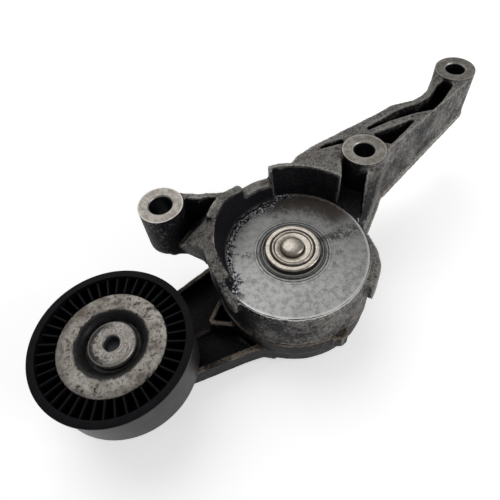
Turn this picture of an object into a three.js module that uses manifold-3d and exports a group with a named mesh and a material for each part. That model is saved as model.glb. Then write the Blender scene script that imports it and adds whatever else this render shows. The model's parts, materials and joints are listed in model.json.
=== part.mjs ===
// Belt tensioner with idler pulley, in millimetres.
// +Z runs along the pivot axis towards the front; Z = 0 is the plane of the three bosses' rear faces.
// The bracket stands still, the arm swings on the pivot pin, and the pulley turns on the arm's end.
import * as THREE from "three";
import { mergeVertices } from "three/addons/utils/BufferGeometryUtils.js";
import Module from "manifold-3d";

const wasm = await Module();
wasm.setup();

// ---- Driving dimensions ----

const gap = 0.3; // clearance between pieces that touch
const overshoot = 2; // how far a cutter runs past what it cuts

// Bracket
const bossRadius = 9.5;
const boltHoleRadius = 4.5;
const dowelHoleRadius = 4.9; // the left boss also takes a sleeve
const bossHeight = 24;
const bossFoot = 2.3; // radius on the bosses' rear edge
const seatRadius = 7.5; // clear way behind the middle boss, up to its seat
const bossLeft = [-53.6, 14];
const bossMiddle = [33, 40];
const bossRight = [84.4, 92.8];
const faceHeight = 7; // machined face of the spring cup
const faceMargin = 0.7; // between the face and the cup's front edge
const cupRadius = 33.7; // at the parting plane
const cupDraft = 1.5; // how much narrower the cup is at its front
const cupWall = 3.6;
const partingHeight = -12.5;
const wallDrop = 1; // raised wall and long arm stop this far under the boss tops
const wallThickness = 3;
const wallDraft = 2; // the raised wall leans back by this much
const westFoot = 3.9; // on its west side the wall's foot comes in this far from the face's edge
const westDraft = 3.6;
const westStart = 103; // degrees, where the west side begins
const westEnd = 212;
const facetDrop = 10; // fall of the left gusset's facet, from the wall to its ridge
const floorTop = 6; // floor of the bracket's front pockets
const floorThickness = 4;
const saddleHeight = 16;
const rearSlope = 0.19; // rise of the bracket's rear edge per millimetre outwards
const rearLevel = 22; // length of the rear edge that stays level beside the cup
const lipWidth = 1.3;
const lipHeight = 3.5;
const webTop = 5;
const hubRadius = 11;

// Pivot
const pinRadius = 6.5;
const pinHeadRadius = 12;
const pinHeadThickness = 2.4;
const rivetRadius = 4.6;
const flangeRadius = 11.7;
const flangeThickness = 2.3;
const thrustThickness = 1.1;
const bushWall = 1.4;

// Spring
const wireRadius = 2.8;
const springTurns = 3.4;
const sleeveWall = 1.5;
const damperWall = 1.6;

// Arm
const armLength = 81;
const armAngle = 207.5; // degrees, from +X
const potDepth = 17;
const potStep = 8.5;
const potWall = 3.2;
const armEndRadius = 15.4;
const armFloorThickness = 4;
const armRimWidth = 2.4;
const armRimClearance = 1.3; // under the pulley
const ribSetback = 6.5; // from the pulley's edge back to the arm's rib corner
const armFloorOffset = 23.7; // distance of the arm's lower edge from the pivot
const pulleyBossRadius = 12;

// Pulley
const pulleyRadius = 32.5;
const pulleyWidth = 23;
const pulleyFront = 5;
const rimHeight = 1.4;
const rimThickness = 1.7;
const treadWall = 1.8;
const sleeveThickness = 2.2;
const ribCount = 42;
const ribThickness = 0.9;
const ribInset = 1;
const pulleyWebThickness = 3;

// Bearing, 17 x 40 x 12
const bearingBore = 8.5;
const bearingRadius = 20;
const bearingWidth = 12;
const ballRadius = 3.375;
const ballCount = 8;
const raceLand = 2.05; // from the pitch circle to each ring's land
const raceClearance = 0.15;
const cageClearance = 0.325; // to the seals
const sealThickness = 0.8;
const sealInset = 0.3;
const boltThreadRadius = 5;
const boltHeadRadius = 9.5;
const boltHeadHeight = 2.6;
const socketRadius = 3.2;
const socketDepth = 5;
const shieldThickness = 1;
const dishMargin = 1.3; // outside the inner ring's land

// ---- Derived places ----

const cupFront = cupRadius - cupDraft;
const faceRadius = cupFront - faceMargin;
const westRadius = faceRadius - westFoot;
const wallTop = bossHeight - wallDrop;
const cupInner = cupRadius - cupWall - gap;
const wallOuter = faceRadius + wallThickness + wallDraft / 2;
const potFront = partingHeight - gap;
const potRear = potFront - potDepth;
const armFloorTop = potRear + armFloorThickness;
const radians = Math.PI / 180;
const pulleyCentre = [armLength * Math.cos(armAngle * radians), armLength * Math.sin(armAngle * radians)];
const pulleyRear = pulleyFront - pulleyWidth;
const armRimTop = pulleyRear - armRimClearance;
const bearingMiddle = (pulleyFront + pulleyRear) / 2;
const pitchRadius = (bearingBore + bearingRadius) / 2;
const innerRaceRadius = pitchRadius - raceLand;
const outerRaceRadius = pitchRadius + raceLand;
const dishRadius = innerRaceRadius + dishMargin;
const faceFloor = faceHeight - floorThickness;
const springRadius = (hubRadius + gap + sleeveWall + cupInner) / 2;
const rearShieldTop = bearingMiddle - bearingWidth / 2 - gap;
const rearShieldDrop = 2.4;
const pulleyBossTop = rearShieldTop - rearShieldDrop - gap;

// ---- Solids ----

const polar = (r, degrees) => [r * Math.cos(degrees * radians), r * Math.sin(degrees * radians)];
const from = ([x, y], dx, dy) => [x + dx, y + dy];

// A closed geometry as a solid, whichever way round its faces were made.
function solid(geometry) {
  const bare = geometry.clone();
  bare.deleteAttribute("normal");
  bare.deleteAttribute("uv");
  const merged = mergeVertices(bare, 1e-4);
  const index = merged.index.array;
  const kept = [];
  for (let i = 0; i < index.length; i += 3) {
    const [a, b, c] = [index[i], index[i + 1], index[i + 2]];
    if (a !== b && b !== c && c !== a) kept.push(a, b, c);
  }
  const build = (triVerts) =>
    new wasm.Manifold(
      new wasm.Mesh({
        numProp: 3,
        vertProperties: new Float32Array(merged.attributes.position.array),
        triVerts: new Uint32Array(triVerts),
      }),
    );
  const made = build(kept);
  return made.volume() > 0 ? made : build(kept.reverse());
}

function geometryOf(manifold) {
  const mesh = manifold.getMesh();
  const geometry = new THREE.BufferGeometry();
  geometry.setAttribute("position", new THREE.BufferAttribute(new Float32Array(mesh.vertProperties), 3));
  geometry.setIndex(new THREE.BufferAttribute(new Uint32Array(mesh.triVerts), 1));
  const flat = geometry.toNonIndexed();
  flat.computeVertexNormals();
  return flat;
}

const joined = (parts) => parts.reduce((whole, part) => whole.add(part));
const cutBy = (whole, cutters) => cutters.reduce((rest, cutter) => rest.subtract(cutter), whole);
const shapeOf = (points) => new THREE.Shape(points.map(([x, y]) => new THREE.Vector2(x, y)));

// A prism of a plan outline between two heights.
function prism(outline, z0, z1, curveSegments = 12) {
  const shape = Array.isArray(outline) ? shapeOf(outline) : outline;
  const geometry = new THREE.ExtrudeGeometry(shape, { depth: z1 - z0, bevelEnabled: false, curveSegments });
  return solid(geometry.translate(0, 0, z0));
}

// A turned piece about Z; the profile is a list of [radius, height].
function turned(profile, segments = 48, [x, y] = [0, 0]) {
  const points = profile.map(([r, z]) => new THREE.Vector2(r, z));
  return solid(new THREE.LatheGeometry(points, segments).rotateX(Math.PI / 2).translate(x, y, 0));
}

const ring = (inner, outer, z0, z1, segments = 48, centre = [0, 0]) =>
  turned([[inner, z0], [outer, z0], [outer, z1], [inner, z1], [inner, z0]], segments, centre);
const disc = (radius, z0, z1, segments = 48, centre = [0, 0]) =>
  turned([[0, z0], [radius, z0], [radius, z1], [0, z1]], segments, centre);

// Everything on the side of a plane that its normal points to.
function beyond(point, normal, size = 400) {
  const geometry = new THREE.BoxGeometry(size, size, size).translate(0, 0, size / 2);
  const turn = new THREE.Quaternion().setFromUnitVectors(
    new THREE.Vector3(0, 0, 1),
    new THREE.Vector3(...normal).normalize(),
  );
  return solid(geometry.applyQuaternion(turn).translate(...point));
}

// A straight upright wall between two plan points.
function upright([x0, y0], [x1, y1], thickness, z0, z1) {
  const length = Math.hypot(x1 - x0, y1 - y0);
  const geometry = new THREE.BoxGeometry(length, thickness, z1 - z0);
  geometry.rotateZ(Math.atan2(y1 - y0, x1 - x0));
  return solid(geometry.translate((x0 + x1) / 2, (y0 + y1) / 2, (z0 + z1) / 2));
}

// Points on an arc about a centre, both ends included.
function arc(centre, r, from0, to0, steps) {
  const points = [];
  for (let i = 0; i <= steps; i++) {
    const [x, y] = polar(r, from0 + ((to0 - from0) * i) / steps);
    points.push([centre[0] + x, centre[1] + y]);
  }
  return points;
}

// ---- Bracket casting ----

const longArmLower = [
  polar(wallOuter, 24),
  from(bossMiddle, 11.5, 1.4),
  from(bossRight, 6.6, -6.8),
];

// Upper edge of the long arm, from the right boss back to the raised wall.
const longArmUpper = [
  from(bossRight, -9.4, -2.6),
  from(bossRight, -13, -6.4),
  from(bossRight, -16.1, -13.4),
  from(bossRight, -19.8, -17.6),
  from(bossRight, -24.4, -20.3),
  from(bossRight, -35, -23.2),
  from(bossMiddle, 8.1, 23.8),
  from(bossMiddle, -20.7, 6),
  from(bossMiddle, -29.3, -0.4),
  polar(wallOuter, 88),
];

// Everything behind the long arm's rear edge, which rises towards the right boss.
function behindLongArm(lift) {
  const run = [bossRight[0] - cupRadius, bossRight[1] - 14];
  const length = Math.hypot(...run);
  const along = run.map((value) => value / length);
  const start = [cupRadius + rearLevel * along[0], 14 + rearLevel * along[1], partingHeight + lift];
  return beyond(start, [rearSlope * along[0], rearSlope * along[1], -1]);
}

function longArm() {
  const rear = partingHeight + gap;
  const plan = [polar(cupFront / 2, 40), ...longArmLower, bossRight, ...longArmUpper];
  const body = prism(plan, rear, wallTop);
  // Below the middle boss the side wall falls away to the machined face.
  const fall = beyond([...from(bossMiddle, 0, -9), wallTop], [0.566, -0.637, 0.528]).subtract(
    beyond([...from(bossMiddle, 0, -5), 0], [-0.4, 1, 0]),
  );
  // A thin lip follows the lower wall's rear edge.
  const outside = longArmLower.map(([x, y]) => [x + lipWidth * 0.8, y - lipWidth * 0.6]);
  const lipBase = prism([...outside, ...longArmLower.slice().reverse(), [cupFront, 10]], rear, wallTop);
  const lipZone = behindLongArm(lipHeight).add(disc(cupRadius + 14, rear, rear + lipHeight, 40));
  const lip = lipBase.intersect(lipZone);
  return joined([body.subtract(fall), lip]).subtract(behindLongArm(0));
}

// The pockets open to the front: one long, one triangular, and a groove beside the middle boss.
function frontPockets() {
  const long = [
    from(bossMiddle, 3.6, 15.7),
    from(bossMiddle, 16.5, 24.6),
    from(bossRight, -29, -25),
    from(bossRight, -21.5, -22.4),
    from(bossRight, -15.5, -17.8),
    from(bossRight, -10.6, -10.2),
    from(bossRight, -6, -6),
    from(bossRight, -3.2, -10.9),
    from(bossRight, -10.8, -21.7),
    from(bossRight, -16.3, -27.8),
    from(bossRight, -24.3, -29.3),
    from(bossMiddle, 13.4, 18.5),
    from(bossMiddle, 3.3, 13.2),
  ];
  const triangle = [
    from(bossMiddle, 26.1, 18.9),
    from(bossMiddle, 12.2, 3.5),
    from(bossMiddle, 8, 6),
    from(bossMiddle, 5.5, 10.9),
    from(bossMiddle, 23, 18.7),
  ];
  const groove = [
    from(bossMiddle, -8.1, 6),
    from(bossMiddle, -19.2, 3),
    from(bossMiddle, -26.2, -1.2),
    from(bossMiddle, -16.9, 5.8),
    from(bossMiddle, -7.8, 9),
  ];
  const high = wallTop + overshoot;
  return [
    prism(long, floorTop, high),
    prism(triangle, floorTop, high),
    prism(groove, wallTop - 9, high),
  ];
}

// The same arm seen from behind is open too, between its edge walls.
function rearPockets() {
  const low = partingHeight - overshoot;
  const outer = [
    from(bossMiddle, 12, 8),
    from(bossRight, -13, -20),
    from(bossRight, -22, -25.5),
    from(bossMiddle, 6, 17),
    from(bossMiddle, 2, 12),
  ];
  const inner = [
    from(bossMiddle, -6.5, 9),
    from(bossMiddle, -23.5, -1.5),
    from(bossMiddle, -22, -3.5),
    from(bossMiddle, -12, -4),
    from(bossMiddle, -9.5, 2),
  ];
  const top = floorTop - floorThickness;
  return [prism(outer, low, top), prism(inner, low, top)];
}

// Raised wall on the upper and left sides of the machined face.
function raisedWall() {
  const outline = [
    ...arc([0, 0], wallOuter, 46, 228, 30),
    ...arc([0, 0], westRadius - 1, 228, 46, 30),
  ];
  const wall = prism(outline, faceFloor, wallTop);
  const saddle = prism(
    [polar(26, 105), polar(44, 105), polar(44, 130), polar(26, 130)],
    saddleHeight,
    wallTop + overshoot,
  );
  const [endX, endY] = polar(faceRadius + wallThickness, 197);
  const end = beyond([endX, endY, wallTop], [...polar(1, 197 + 90), 1]);
  return cutBy(wall, [saddle, end]);
}

// The top edge dips between the left boss and the saddle.
function edgeDip() {
  const sector = prism([[0, 0], polar(60, 165), polar(60, 126)], 0, wallTop + 9);
  return beyond([...polar(faceRadius, 150), wallTop], [...polar(0.3, 60), 1]).intersect(sector);
}

// The three planes of the left gusset: a facet that falls from the wall's inner edge,
// a slope that falls on from its ridge towards the boss, and a side that leans in to the web.
const ridge = [...from(bossLeft, 8.5, -12.4), wallTop - facetDrop];
const facetEdge = [...polar(faceRadius + 0.25, 197.4), wallTop];
const facet = () => beyond(facetEdge, [-facetDrop, 0, facetEdge[0] - ridge[0]]);
const farSlope = () => beyond(ridge, [-0.694, 0.396, 0.602]);
const lean = () => beyond(facetEdge, [-0.485, -0.846, -0.221]);

// Web, rim and gusset that carry the left boss.
function leftWeb() {
  const upper = [
    from(bossLeft, 6.1, 7.3),
    from(bossLeft, 8.6, 7),
    from(bossLeft, 15.6, 6.2),
    from(bossLeft, 22.6, 7),
    polar(wallOuter, 142),
  ];
  const lower = [
    from(bossLeft, 16.6, -15.5),
    from(bossLeft, 14.9, -11.9),
    from(bossLeft, 12.8, -10.5),
    from(bossLeft, 9.6, -9.1),
    from(bossLeft, 5, -8.8),
    from(bossLeft, 0.9, -9.4),
  ];
  const plan = [bossLeft, ...lower.reverse(), polar(cupFront, 165), ...upper.slice().reverse()];
  const web = prism(plan, 0, webTop);
  const rimInner = upper.map(([x, y]) => [x, y - wallThickness]).reverse();
  const rim = prism([...upper, ...rimInner], 0, wallTop);
  const gussetPlan = [
    polar(faceRadius, 138),
    bossLeft,
    from(bossLeft, 7.6, -14),
    polar(wallOuter + 2, 200),
    polar(faceRadius - 1, 200),
  ];
  const gusset = cutBy(prism(gussetPlan, 0, wallTop), [facet(), farSlope(), lean()]);
  return joined([web, rim, gusset]);
}

// Lug on the cup's right side, where the arm's travel ends, and the rib that runs up to it.
function stopLug() {
  const outline = [
    ...arc([0, 0], cupRadius + 2.8, -30, -12, 4),
    polar(cupRadius + 1.6, 0),
    polar(cupRadius, 14),
    ...arc([0, 0], cupFront - 2, 14, -30, 6),
  ];
  return prism(outline, faceHeight - 11.5, faceHeight - 1);
}

// Open bay between the middle boss and the machined face.
function bay() {
  const outline = [
    from(bossMiddle, -9.5, 1),
    from(bossMiddle, -11, -13),
    polar(faceRadius - 4, 45),
    polar(faceRadius - 4, 20),
    polar(faceRadius + 1.5, 19),
    from(bossMiddle, -2.6, -22.5),
    from(bossMiddle, 0.5, -8),
  ];
  return prism(outline, faceHeight, wallTop + overshoot);
}

// A bolt boss with a rounded foot.
function boss(place) {
  const foot = [0, 30, 60, 90].map((turn) => [
    bossRadius - bossFoot + bossFoot * Math.sin(turn * radians),
    bossFoot - bossFoot * Math.cos(turn * radians),
  ]);
  return turned([[0, 0], ...foot, [bossRadius, bossHeight], [0, bossHeight]], 32, place);
}

function bracketCasting() {
  const chamfer = 1;
  const cup = turned([
    [0, partingHeight],
    [cupRadius, partingHeight],
    [cupFront + 0.3, faceHeight - chamfer],
    [cupFront - chamfer, faceHeight],
    [0, faceHeight],
  ], 72);
  const recess = turned([
    [0, faceHeight],
    [faceRadius, faceHeight],
    [faceRadius + wallDraft, wallTop + overshoot],
    [0, wallTop + overshoot],
  ], 72);
  const westPlan = [[0, 0], ...arc([0, 0], 2 * cupRadius, westStart, westEnd, 3)];
  const westSide = prism(westPlan, faceFloor, bossHeight + overshoot);
  const westRecess = turned([
    [0, faceHeight],
    [westRadius, faceHeight],
    [westRadius + westDraft / 3, faceHeight + westDraft / 2],
    [westRadius + westDraft, wallTop + overshoot],
    [0, wallTop + overshoot],
  ], 72);
  const facetPlan = [...arc([0, 0], westRadius - 1.6, 168, 200, 1), ...arc([0, 0], 60, 200, 168, 1)];
  const wallFacet = facet().intersect(prism(facetPlan, faceHeight, bossHeight));
  const plate = cutBy(joined([cup, longArm(), raisedWall(), leftWeb(), stopLug()]), [
    recess.subtract(westSide),
    westRecess,
    wallFacet,
    edgeDip(),
    bay(),
    ...frontPockets(),
    ...rearPockets(),
  ]);
  const turnedRing = ring(flangeRadius + 0.7, flangeRadius + 2.1, faceHeight - 1, faceHeight + 0.8, 56);
  const bosses = [bossLeft, bossMiddle, bossRight].map(boss);
  const rimStep = disc(1.8, faceHeight, wallTop - 0.2, 14, polar(faceRadius + 3, 97));
  const rimBump = disc(2, faceHeight, saddleHeight + 3, 14, polar(faceRadius + 2.6, 131));
  const hub = disc(hubRadius, partingHeight + 4.5, faceHeight, 40);
  const hollow = turned([
    [0, partingHeight - overshoot],
    [cupInner, partingHeight - overshoot],
    [cupInner, partingHeight],
    [cupInner - cupDraft, faceFloor],
    [0, faceFloor],
  ], 72);
  const bore = (radius, place) => disc(radius, -overshoot, bossHeight + overshoot, 24, place);
  const seatBore = disc(seatRadius, partingHeight - overshoot, 0, 32, bossMiddle);
  const pinHole = disc(pinRadius + gap, partingHeight - overshoot, faceHeight + overshoot, 32);
  return cutBy(joined([joined([plate, ...bosses, rimStep, rimBump]).subtract(hollow), turnedRing, hub]), [
    bore(dowelHoleRadius, bossLeft),
    bore(boltHoleRadius, bossMiddle),
    bore(boltHoleRadius, bossRight),
    seatBore,
    pinHole,
  ]);
}

// ---- Pivot ----

const flangeBase = faceHeight + gap;
const flangeTop = flangeBase + flangeThickness;
const hubBottom = partingHeight + 4.5;
const armHubTop = hubBottom - thrustThickness - 2 * gap;
const rearThrustTop = potRear - gap;
const pinHeadTop = rearThrustTop - thrustThickness - gap;

function pivotPin() {
  const dome = [0.25, 0.5, 0.75].map((t) => [
    rivetRadius * Math.cos((t * Math.PI) / 2),
    flangeTop + 0.9 + 1.3 * Math.sin((t * Math.PI) / 2),
  ]);
  return turned([
    [0, pinHeadTop - pinHeadThickness],
    [pinHeadRadius - 0.8, pinHeadTop - pinHeadThickness],
    [pinHeadRadius, pinHeadTop - pinHeadThickness + 0.8],
    [pinHeadRadius, pinHeadTop],
    [pinRadius, pinHeadTop],
    [pinRadius, faceHeight],
    [rivetRadius, faceHeight],
    [rivetRadius, flangeTop + 0.9],
    ...dome,
    [0, flangeTop + 2.2],
  ], 28);
}

// Plated flange that the pin is riveted over, with two turned grooves.
function pivotFlange() {
  const grooveDepth = 0.6;
  const middle = flangeRadius * 0.78;
  return turned([
    [rivetRadius + gap, flangeBase],
    [flangeRadius, flangeBase],
    [flangeRadius, flangeTop - 0.5],
    [flangeRadius - 0.5, flangeTop],
    [middle + 0.3, flangeTop],
    [middle, flangeTop - grooveDepth],
    [middle - 0.3, flangeTop + 0.3],
    [rivetRadius + 1.6, flangeTop + 0.3],
    [rivetRadius + gap, flangeTop - grooveDepth],
    [rivetRadius + gap, flangeBase],
  ], 36);
}

// ---- Spring chamber ----

function torsionSpring() {
  const start = faceFloor - gap - wireRadius;
  const end = armFloorTop + gap + wireRadius;
  class Coil extends THREE.Curve {
    getPoint(t) {
      const angle = t * springTurns * 2 * Math.PI;
      return new THREE.Vector3(
        springRadius * Math.cos(angle),
        springRadius * Math.sin(angle),
        start + (end - start) * t,
      );
    }
  }
  const section = new THREE.Shape();
  section.absarc(0, 0, wireRadius, 0, 2 * Math.PI);
  return solid(
    new THREE.ExtrudeGeometry(section, {
      steps: Math.round(springTurns * 18),
      curveSegments: 4,
      extrudePath: new Coil(),
      bevelEnabled: false,
    }),
  );
}

function springSleeve() {
  const bore = hubRadius + 2 * gap + 1;
  return ring(bore, bore + sleeveWall, armFloorTop + gap, faceFloor - gap, 40);
}

function damperRing() {
  const outer = cupRadius - potWall - 2 * gap;
  return ring(outer - damperWall, outer, armFloorTop + gap, potFront - gap, 56);
}

// ---- Arm ----

function armCasting() {
  const centre = pulleyCentre;
  const potRadius = cupRadius + gap;
  const pot = turned([
    [0, potRear],
    [potRadius - 1.8, potRear],
    [potRadius - 0.6, potRear + 1.2],
    [potRadius - 0.3, potFront - potStep],
    [potRadius, potFront - potStep + 0.5],
    [potRadius, potFront],
    [0, potFront],
  ], 72);
  // The arm's upper edge is tangent to the pot and to its rounded end.
  const spread = Math.asin((potRadius - armEndRadius) / armLength) / radians;
  const upperAngle = armAngle - 90 + spread;
  const lowerSpread = Math.asin((armFloorOffset - armEndRadius) / armLength) / radians;
  const lowerAngle = armAngle + 90 - lowerSpread;
  const outline = (inset) => [
    polar(potRadius - inset, upperAngle),
    ...arc(centre, armEndRadius - inset, upperAngle, lowerAngle, 14),
    polar(armFloorOffset - inset, lowerAngle),
  ];
  const plank = prism([...outline(0), [0, 0]], potRear, armRimTop);
  const channel = prism([...outline(armRimWidth), [0, 0]], armFloorTop, armRimTop + overshoot);
  const boss = disc(pulleyBossRadius, potRear, pulleyBossTop, 40, centre);
  // Fillet where the lower edge runs into the pot.
  const cornerAngle = lowerAngle - Math.acos(armFloorOffset / potRadius) / radians;
  const corner = polar(potRadius, cornerAngle);
  const alongEdge = polar(8, lowerAngle - 90);
  const fillet = prism(
    [
      polar(potRadius - 4, cornerAngle),
      from(corner, ...alongEdge),
      from(corner, ...polar(0.9, (cornerAngle + lowerAngle - 60) / 2)),
      polar(potRadius, cornerAngle + 9),
    ],
    potRear,
    armRimTop,
  );
  const ribCorner = polar(armLength - pulleyRadius - ribSetback, armAngle + 1);
  const ribTop = armRimTop + 3.5;
  const ribs = [
    upright(polar(potRadius - 2, armAngle - 16), ribCorner, 2, potRear + 1, ribTop),
    upright(polar(potRadius - 5, armAngle + 24), ribCorner, 2, potRear + 1, ribTop),
    upright(ribCorner, polar(armLength - pulleyBossRadius + 1, armAngle), 2, potRear + 1, armRimTop - 3),
  ];
  const lug = prism(
    [
      ...arc([0, 0], potRadius - 1, -64, -50, 3),
      polar(potRadius + 2.4, -53),
      polar(potRadius + 2.8, -58),
      polar(potRadius + 0.8, -64),
    ],
    potFront - potStep,
    potFront,
  );
  const hollow = disc(potRadius - potWall, armFloorTop, potFront + overshoot, 72);
  const hub = disc(hubRadius + 1, potRear, armHubTop, 40);
  const pinHole = disc(pinRadius + 2 * gap + bushWall, potRear - overshoot, armHubTop + overshoot, 32);
  const boltHole = disc(boltThreadRadius + gap, potRear - overshoot, pulleyBossTop + overshoot, 24, centre);
  const shell = joined([plank.subtract(channel), pot, boss, fillet, ...ribs, lug]);
  return cutBy(joined([shell.subtract(hollow), hub]), [pinHole, boltHole]);
}

const pivotBush = () =>
  ring(pinRadius + gap, pinRadius + gap + bushWall, potRear + gap, armHubTop - gap, 32);
const frontThrustWasher = () =>
  ring(pinRadius + gap, hubRadius - gap, armHubTop + gap, hubBottom - gap, 32);
const rearThrustWasher = () =>
  ring(pinRadius + gap, pinHeadRadius, pinHeadTop + gap, rearThrustTop, 32);

// ---- Pulley and its bearing; every profile is about the pulley's own axis ----

// The race's groove, from its front edge to its rear edge.
function groove(side, shoulder) {
  const radius = ballRadius + raceClearance;
  const reach = Math.acos(Math.abs(shoulder - pitchRadius) / radius);
  const points = [];
  for (let i = 0; i <= 4; i++) {
    const angle = reach * (1 - i / 2);
    points.push([pitchRadius + side * radius * Math.cos(angle), radius * Math.sin(angle)]);
  }
  return points;
}

function race(side, edge, shoulder) {
  const half = bearingWidth / 2;
  return turned([
    [edge, half],
    [shoulder, half],
    ...groove(side, shoulder),
    [shoulder, -half],
    [edge, -half],
    [edge, half],
  ], 36);
}

function ballCage() {
  const half = bearingWidth / 2 - sealInset - sealThickness - cageClearance;
  let cage = ring(pitchRadius - 1.2, pitchRadius + 1.2, -half, half, 32);
  for (let i = 0; i < ballCount; i++) {
    const [x, y] = polar(pitchRadius, (360 * i) / ballCount);
    cage = cage.subtract(solid(new THREE.SphereGeometry(ballRadius + 2 * gap, 8, 6).translate(x, y, 0)));
  }
  return cage;
}

const ball = () => solid(new THREE.SphereGeometry(ballRadius, 10, 7));
const seal = () => ring(innerRaceRadius + gap, outerRaceRadius - gap, 0, sealThickness, 32);

// A ring of the pulley's full section, with a pocket between each rib and the next.
function ribbedRing(bore, inner, outer, tread, z0, z1) {
  const shape = shapeOf(arc([0, 0], tread, 0, 360, ribCount).slice(1));
  shape.holes.push(shapeOf(arc([0, 0], bore, 0, 360, ribCount).slice(1)));
  const step = 360 / ribCount;
  for (let i = 0; i < ribCount; i++) {
    const halfAngle = (r) => step / 2 - ribThickness / 2 / r / radians;
    const [innerHalf, outerHalf] = [halfAngle(inner), halfAngle(outer)];
    shape.holes.push(
      shapeOf([
        polar(inner, i * step - innerHalf),
        polar(outer, i * step - outerHalf),
        polar(outer, i * step + outerHalf),
        polar(inner, i * step + innerHalf),
      ]),
    );
  }
  return prism(shape, z0, z1);
}

function pulleyBody() {
  const half = pulleyWidth / 2;
  const tread = pulleyRadius - rimHeight;
  const inner = tread - treadWall;
  const sleeveInner = bearingRadius + gap;
  const sleeveOuter = sleeveInner + sleeveThickness;
  const ribBore = sleeveOuter - 0.4;
  const ribEnd = half - ribInset;
  const webEnd = pulleyWebThickness / 2;
  const facets = ribCount;
  return joined([
    ribbedRing(ribBore, sleeveOuter, inner, tread, webEnd, ribEnd),
    ring(ribBore, tread, -webEnd, webEnd, facets),
    ribbedRing(ribBore, sleeveOuter, inner, tread, -ribEnd, -webEnd),
    ring(inner, tread, -half, -ribEnd, facets),
    ring(inner, tread, ribEnd, half, facets),
    ring(tread - 0.6, pulleyRadius, half - rimThickness, half, facets),
    ring(sleeveInner, ribBore + 0.3, -bearingWidth / 2 - 1.5, bearingWidth / 2 + 1.5, ribCount),
  ]);
}

// Pressed steel shield that the bolt clamps on the bearing's inner ring.
function frontShield() {
  const clampRadius = bearingBore + gap;
  const rimLift = 3.1;
  const outer = bearingRadius + sleeveThickness - 1.5 * gap;
  const t = shieldThickness;
  return turned([
    [clampRadius - 0.4, 0],
    [innerRaceRadius - 0.6, 0],
    [dishRadius, rimLift],
    [outer, rimLift],
    [outer, rimLift + t * 0.8],
    [dishRadius - 0.8, rimLift + t],
    [innerRaceRadius - 1.4, t],
    [clampRadius - 0.4, t],
    [clampRadius - 0.4, 0],
  ], 36);
}

// Rear shield with a thick middle that spaces the bearing from the arm.
function rearShield() {
  const t = shieldThickness;
  return turned([
    [boltThreadRadius + gap, 0],
    [innerRaceRadius - 0.6, 0],
    [innerRaceRadius - 0.2, t - rearShieldDrop],
    [bearingRadius + 1, t - rearShieldDrop],
    [bearingRadius + 1, -rearShieldDrop],
    [boltThreadRadius + gap, -rearShieldDrop],
    [boltThreadRadius + gap, 0],
  ], 40);
}

// Shoulder bolt; height 0 is the bearing's front face.
function pulleyBolt() {
  const headBottom = shieldThickness + 2 * gap;
  const headTop = headBottom + boltHeadHeight;
  const shoulder = bearingBore - gap;
  const shoulderEnd = -bearingWidth + gap;
  const tip = potRear + 1 - (bearingMiddle + bearingWidth / 2);
  const body = turned([
    [0, tip],
    [boltThreadRadius - 0.8, tip],
    [boltThreadRadius, tip + 0.8],
    [boltThreadRadius, shoulderEnd],
    [shoulder, shoulderEnd],
    [shoulder, headBottom],
    [boltHeadRadius, headBottom],
    [boltHeadRadius, headTop - 0.6],
    [boltHeadRadius - 0.6, headTop],
    [0, headTop],
  ], 36);
  const socket = disc(socketRadius, headTop - socketDepth, headTop + overshoot, 12);
  return body.subtract(socket);
}

// ---- Materials and assembly ----

const finish = (color, roughness, metalness) =>
  new THREE.MeshStandardMaterial({ color, roughness, metalness });
const castAluminium = finish(0x5f5b55, 0.6, 0.85);
const platedSteel = finish(0xb9b0a0, 0.35, 0.95);
const bearingSteel = finish(0x8f9194, 0.25, 1);
const springSteel = finish(0x33353a, 0.45, 0.9);
const zincSteel = finish(0x9b9388, 0.5, 0.85);
const blackNylon = finish(0x141518, 0.45, 0);
const wearPlastic = finish(0xb8b095, 0.5, 0);
const blackRubber = finish(0x1b1b1c, 0.8, 0);

function mesh(name, manifold, material, [x, y, z] = [0, 0, 0]) {
  const piece = new THREE.Mesh(geometryOf(manifold), material);
  piece.name = name;
  piece.position.set(x, y, z);
  return piece;
}

const bracket = new THREE.Group();
bracket.add(
  mesh("bracket_casting", bracketCasting(), castAluminium),
  mesh("pivot_pin", pivotPin(), platedSteel),
  mesh("pivot_flange", pivotFlange(), platedSteel),
  mesh("spring_sleeve", springSleeve(), wearPlastic),
  mesh("torsion_spring", torsionSpring(), springSteel),
  mesh("front_thrust_washer", frontThrustWasher(), wearPlastic),
  mesh("rear_thrust_washer", rearThrustWasher(), bearingSteel),
);

const arm = new THREE.Group();
arm.add(
  mesh("arm_casting", armCasting(), castAluminium),
  mesh("pivot_bush", pivotBush(), wearPlastic),
  mesh("damper_ring", damperRing(), wearPlastic),
);

// Pieces on the pulley's axis, placed from the middle of its bearing.
const onPulleyAxis = new THREE.Group();
onPulleyAxis.position.set(...pulleyCentre, bearingMiddle);
const bearingFront = bearingWidth / 2;
onPulleyAxis.add(
  mesh("pulley_bolt", pulleyBolt(), zincSteel, [0, 0, bearingFront]),
  mesh("front_dust_shield", frontShield(), zincSteel, [0, 0, bearingFront + gap]),
  mesh("rear_dust_shield", rearShield(), zincSteel, [0, 0, -bearingFront - gap]),
  mesh("bearing_inner_ring", race(-1, bearingBore, innerRaceRadius), bearingSteel),
  mesh("bearing_outer_ring", race(1, bearingRadius, outerRaceRadius), bearingSteel),
  mesh("bearing_seal_front", seal(), blackRubber, [0, 0, bearingFront - sealInset - sealThickness]),
  mesh("bearing_seal_rear", seal(), blackRubber, [0, 0, sealInset - bearingFront]),
  mesh("pulley_body", pulleyBody(), blackNylon),
  mesh("ball_cage", ballCage(), springSteel),
);
for (let i = 0; i < ballCount; i++) {
  const place = [...polar(pitchRadius, (360 * i) / ballCount), 0];
  onPulleyAxis.add(mesh(`ball_${i + 1}`, ball(), bearingSteel, place));
}

const tensioner = new THREE.Group();
tensioner.add(bracket, arm, onPulleyAxis);

export default tensioner;
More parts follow.
